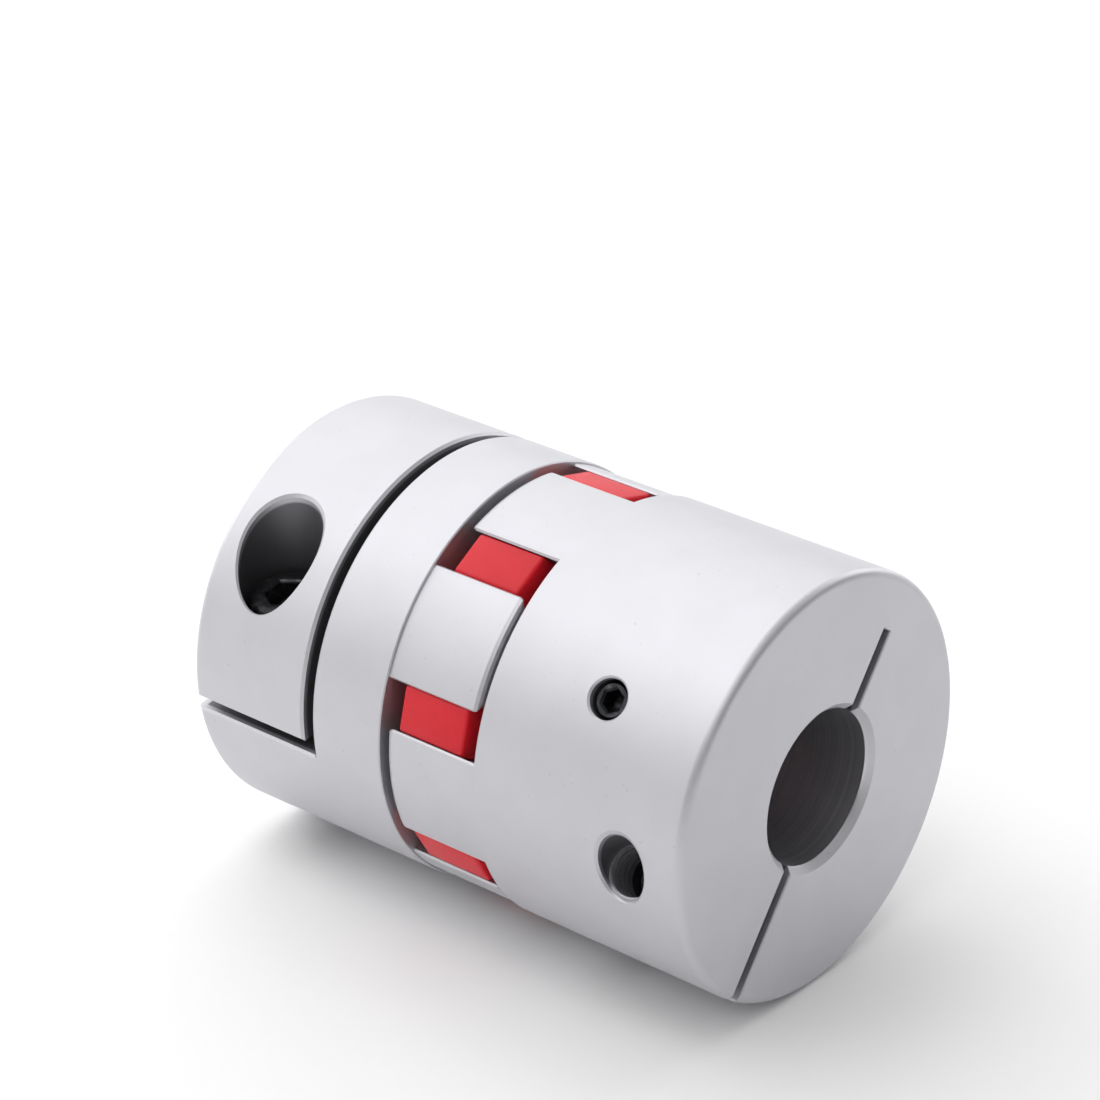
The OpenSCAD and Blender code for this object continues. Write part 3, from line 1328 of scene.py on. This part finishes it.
    def barrels(self) -> list[Barrel]:
        """The hub's round surfaces."""
        shaft = Matrix.Identity(4)
        radii = (self.line.outer_r, self.jaw_r, self.jaw_inner_r, self.bore_r)
        clamp = (self.counterbore_r, self.clearance_r, self.runout_r)
        return [Barrel(shaft, r) for r in radii] + [Barrel(self.clamp.bench(), r) for r in clamp]

    def mesh(self) -> bpy.types.Mesh:
        """The whole hub in its bench frame."""
        tools = [self.clamp_drill(), self.grub_drill(), self.slit(), self.cross_cut()]
        steps = [(Carve.JOIN, self.jaws()), *[(Carve.CUT, tool) for tool in tools]]
        return trued(shaded(carved(self.body(), steps), angle=18.0), self.barrels())

    def thread(self) -> bpy.types.Mesh:
        """The thread that shows in the run-out, between the screw's end and the plain stretch."""
        sizes = self.clamp.sizes
        tapped_r = sizes.thread_d / 2 + self.tapped_gap
        low = -self.runout_start - self.thread_overrun
        high = self.clamp.tip - self.thread_overrun
        material = self.finish.material()
        ridge = helical_ridge(tapped_r, -self.thread_depth, sizes.pitch, low, high, material)
        return moved(ridge, self.clamp.bench())

    def build(self, sides: Iterable[Side]) -> list[bpy.types.Object]:
        """Makes each side's hub, which are copies of one part, and hands them to their bodies."""
        hub = self.finish.dress(self.mesh())
        # The thread's painted shade colour is a bare metal grey, so the thread is not darkened.
        freshly_cut = replace(self.finish, name="cut_thread_aluminium", painted_shade=(0.62, 0.62, 0.65))
        thread = freshly_cut.dress(shaded(self.thread()))
        made = []
        for side in sides:
            node = side.node("hub")
            for name, mesh in ((f"{node}_machined", hub), (f"{node}_thread", thread)):
                piece = in_scene(name, moved(mesh.copy(), self.line.matrix(side)))
                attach(piece, node)
                made.append(piece)
            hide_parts(node)
        return made


@dataclass
class Spider:
    """Elastic spider: a ring with eight crowned legs, each squeezed between two jaws."""

    line: ShaftLine
    finish: Finish
    length: float = 10.0
    inner_r: float = 13.5
    ring_r: float = 18.5
    ring_round: float = 0.6
    leg_count: int = 8
    top_r: float = 26.8
    flank_r: float = 8.0
    leg_w: float = 7.8
    mid_r: float = 22.8
    rounding: float = 0.4

    def ring(self) -> bpy.types.Mesh:
        """The ring that joins the legs, a touch shorter than they are."""
        half, soft = self.length / 2 - 0.15, self.ring_round
        section = [
            *arc((self.ring_r - soft, half - soft), soft, 0, 90, 5),
            *arc((self.inner_r + soft, half - soft), soft, 90, 180, 5),
            *arc((self.inner_r + soft, soft - half), soft, 180, 270, 5),
            *arc((self.ring_r - soft, soft - half), soft, 270, 360, 5),
        ]
        return turned("ring", section, 192)

    def leg_outline(self) -> list[Point]:
        """Outline of a leg along +Y: two bowed flanks and a flat top, its root sunk in the ring."""
        shift = self.flank_r - self.leg_w / 2
        low = self.ring_r - 1.2
        flank = []
        for y in spaced(low, self.top_r, 17):
            flank.append((math.sqrt(self.flank_r**2 - (y - self.mid_r) ** 2) - shift, y))
        return [*flank, *[(-x, y) for x, y in reversed(flank)]]

    def leg(self) -> bpy.types.Mesh:
        """One leg along +Y, with all its edges rounded."""
        half = self.length / 2
        block = prism("leg", self.leg_outline(), -half, half)
        return shaded(eased(block, self.rounding, segments=4, angle=25.0), angle=40.0)

    def build(self) -> list[bpy.types.Object]:
        """Makes the ring and the legs."""
        matrix = self.line.matrix()
        ring = in_scene("spider_ring", moved(shaded(self.ring()), matrix))
        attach(ring, "spider")
        made = [ring]
        half_angle = math.degrees(self.leg_w / 2 / self.mid_r)
        for i in range(self.leg_count):
            angle = self.line.leg_pitch * i
            turned_leg = around_shaft(self.leg(), 1, angle, self.finish.material())
            leg = in_scene(f"spider_leg_{i + 1}", moved(turned_leg, matrix))
            sides = [Vector((*polar(self.mid_r, angle + half_angle * s), 0)) for s in (1, -1)]
            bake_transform(leg)
            made.append(leg)
        for piece in made:
            self.finish.dress(piece.data)
        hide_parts("spider")
        return made


@dataclass(frozen=True)
class Softbox:
    """A softbox: where it hangs, in degrees and metres, its width and height, and its power."""

    name: str
    azimuth: float
    elevation: float
    power: float
    distance: float = 0.9
    width: float = 0.6
    height: float = 0.6


@dataclass
class Studio:
    """Pale floor, soft lights and the camera."""

    line: ShaftLine
    azimuth: float = 39.86
    elevation: float = 26.93
    distance: float = 497.3
    aim_right: float = -2.58
    aim_up: float = 17.33
    lens: float = 130.0
    floor_size: float = 4.0
    sky: tuple[tuple[float, float], ...] = (
        (0.0, 1.54),
        (0.15, 0.0),
        (0.3, 0.0),
        (0.5, 0.33),
        (0.7, 0.74),
        (1.0, 0.0),
    )
    softboxes: tuple[Softbox, ...] = (
        Softbox("top_softbox", 0, 90, 0.93, 0.9, 0.7, 0.7),
        Softbox("high_front_softbox", 0, 58, 1.05),
        Softbox("high_front_right_softbox", 45, 58, 0.61),
        Softbox("high_back_left_softbox", 225, 58, 1.24),
        Softbox("high_left_softbox", 270, 58, 0.61),
        Softbox("high_front_left_softbox", 315, 58, 1.16),
        Softbox("low_back_softbox", 180, 22, 2.9, 1.1, 0.7, 0.5),
        Softbox("low_back_left_softbox", 225, 22, 1.76, 1.1, 0.7, 0.5),
        Softbox("low_left_softbox", 270, 22, 3.57, 1.1, 0.7, 0.5),
        Softbox("low_front_left_softbox", 315, 22, 1.6, 1.1, 0.7, 0.5),
    )

    def floor(self) -> bpy.types.Object:
        """The floor, just touching the hubs."""
        half, z = self.floor_size / 2, -self.line.outer_r * MM
        places = ((-half, -half), (half, -half), (half, half), (-half, half))
        shape = bmesh.new()
        shape.faces.new([shape.verts.new((x, y, z)) for x, y in places])
        floor = in_scene("floor", finished_mesh("floor", shape))
        StudioPaper().dress(floor.data)
        floor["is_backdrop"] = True
        return floor

    def softbox(self, box: Softbox) -> bpy.types.Object:
        """Hangs a softbox so that it looks at the coupling."""
        light = bpy.data.lights.new(box.name, "AREA")
        light.shape = "RECTANGLE"
        light.size = box.width
        light.size_y = box.height
        light.energy = box.power
        made = bpy.data.objects.new(box.name, light)
        place = self.direction(box.azimuth, box.elevation) * box.distance
        made.location = place
        made.rotation_euler = (-place).to_track_quat("-Z", "Y").to_euler()
        bpy.context.scene.collection.objects.link(made)
        return made

    @staticmethod
    def direction(azimuth: float, elevation: float) -> Vector:
        """Direction from the coupling, with azimuth 0 at -Y and 90 at +X."""
        a, e = math.radians(azimuth), math.radians(elevation)
        return Vector((math.sin(a) * math.cos(e), -math.cos(a) * math.cos(e), math.sin(e)))

    def surroundings(self) -> None:
        """The room: bright along the floor, dark at the height of the low softboxes, pale above."""
        world = bpy.data.worlds.new("room")
        world.use_nodes = True
        world.node_tree.nodes.clear()
        graph = Graph(world.node_tree)
        place = graph.add("ShaderNodeTexCoord", output="Generated")
        height = graph.other(graph.add("ShaderNodeSeparateXYZ", None, {0: place}), 2)
        brightest = max(level for _, level in self.sky)
        stops = [(at, (*[level / brightest] * 3, 1.0)) for at, level in self.sky]
        wall = graph.add("ShaderNodeValToRGB", {"stops": stops}, {0: height})
        back = graph.add("ShaderNodeBackground", None, {"Color": wall, "Strength": brightest})
        graph.add("ShaderNodeOutputWorld", None, {"Surface": back})
        bpy.context.scene.world = world

    def camera(self) -> bpy.types.Object:
        """The camera, a long lens that looks down on the near end."""
        back = self.direction(self.azimuth, self.elevation)
        right = Vector((-back.y, back.x, 0)).normalized()
        up = back.cross(right)
        made = bpy.data.objects.new("camera", bpy.data.cameras.new("camera"))
        made.data.lens = self.lens
        made.data.clip_start = 0.01
        made.location = (right * self.aim_right + up * self.aim_up + back * self.distance) * MM
        made.rotation_euler = Matrix((right, up, back)).transposed().to_euler()
        bpy.context.scene.collection.objects.link(made)
        bpy.context.scene.camera = made
        return made

    def build(self) -> None:
        """Sets the stage."""
        self.camera()
        self.floor()
        self.surroundings()
        for box in self.softboxes:
            self.softbox(box)
        bpy.context.scene.view_settings.view_transform = "Standard"


def report(pieces: Iterable[bpy.types.Object]) -> None:
    """Logs each finished piece with its size."""
    for piece in pieces:
        LOG.info("%s: %d faces", piece.name, len(piece.data.polygons))


def main() -> None:
    """Builds the coupling around its CAD frame."""
    logging.basicConfig(level=logging.INFO, format="%(name)s: %(message)s")
    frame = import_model()
    line = ShaftLine.from_frame(frame)
    LOG.info("rolled by %.1f degrees, radius %.2f, half length %.2f", line.roll, line.outer_r, line.half_len)
    Studio(line).build()
    steel = BlackOxide()
    clamp = CapScrew(line, steel)
    grub = GrubScrew(line, steel)
    report(Hub(line, AnodisedAluminium(), clamp, grub).build(Side))
    report(clamp.build(side) for side in Side)
    report(grub.build(side) for side in Side)
    report(Spider(line, MouldedPolyurethane()).build())


if __name__ == "__main__":
    main()
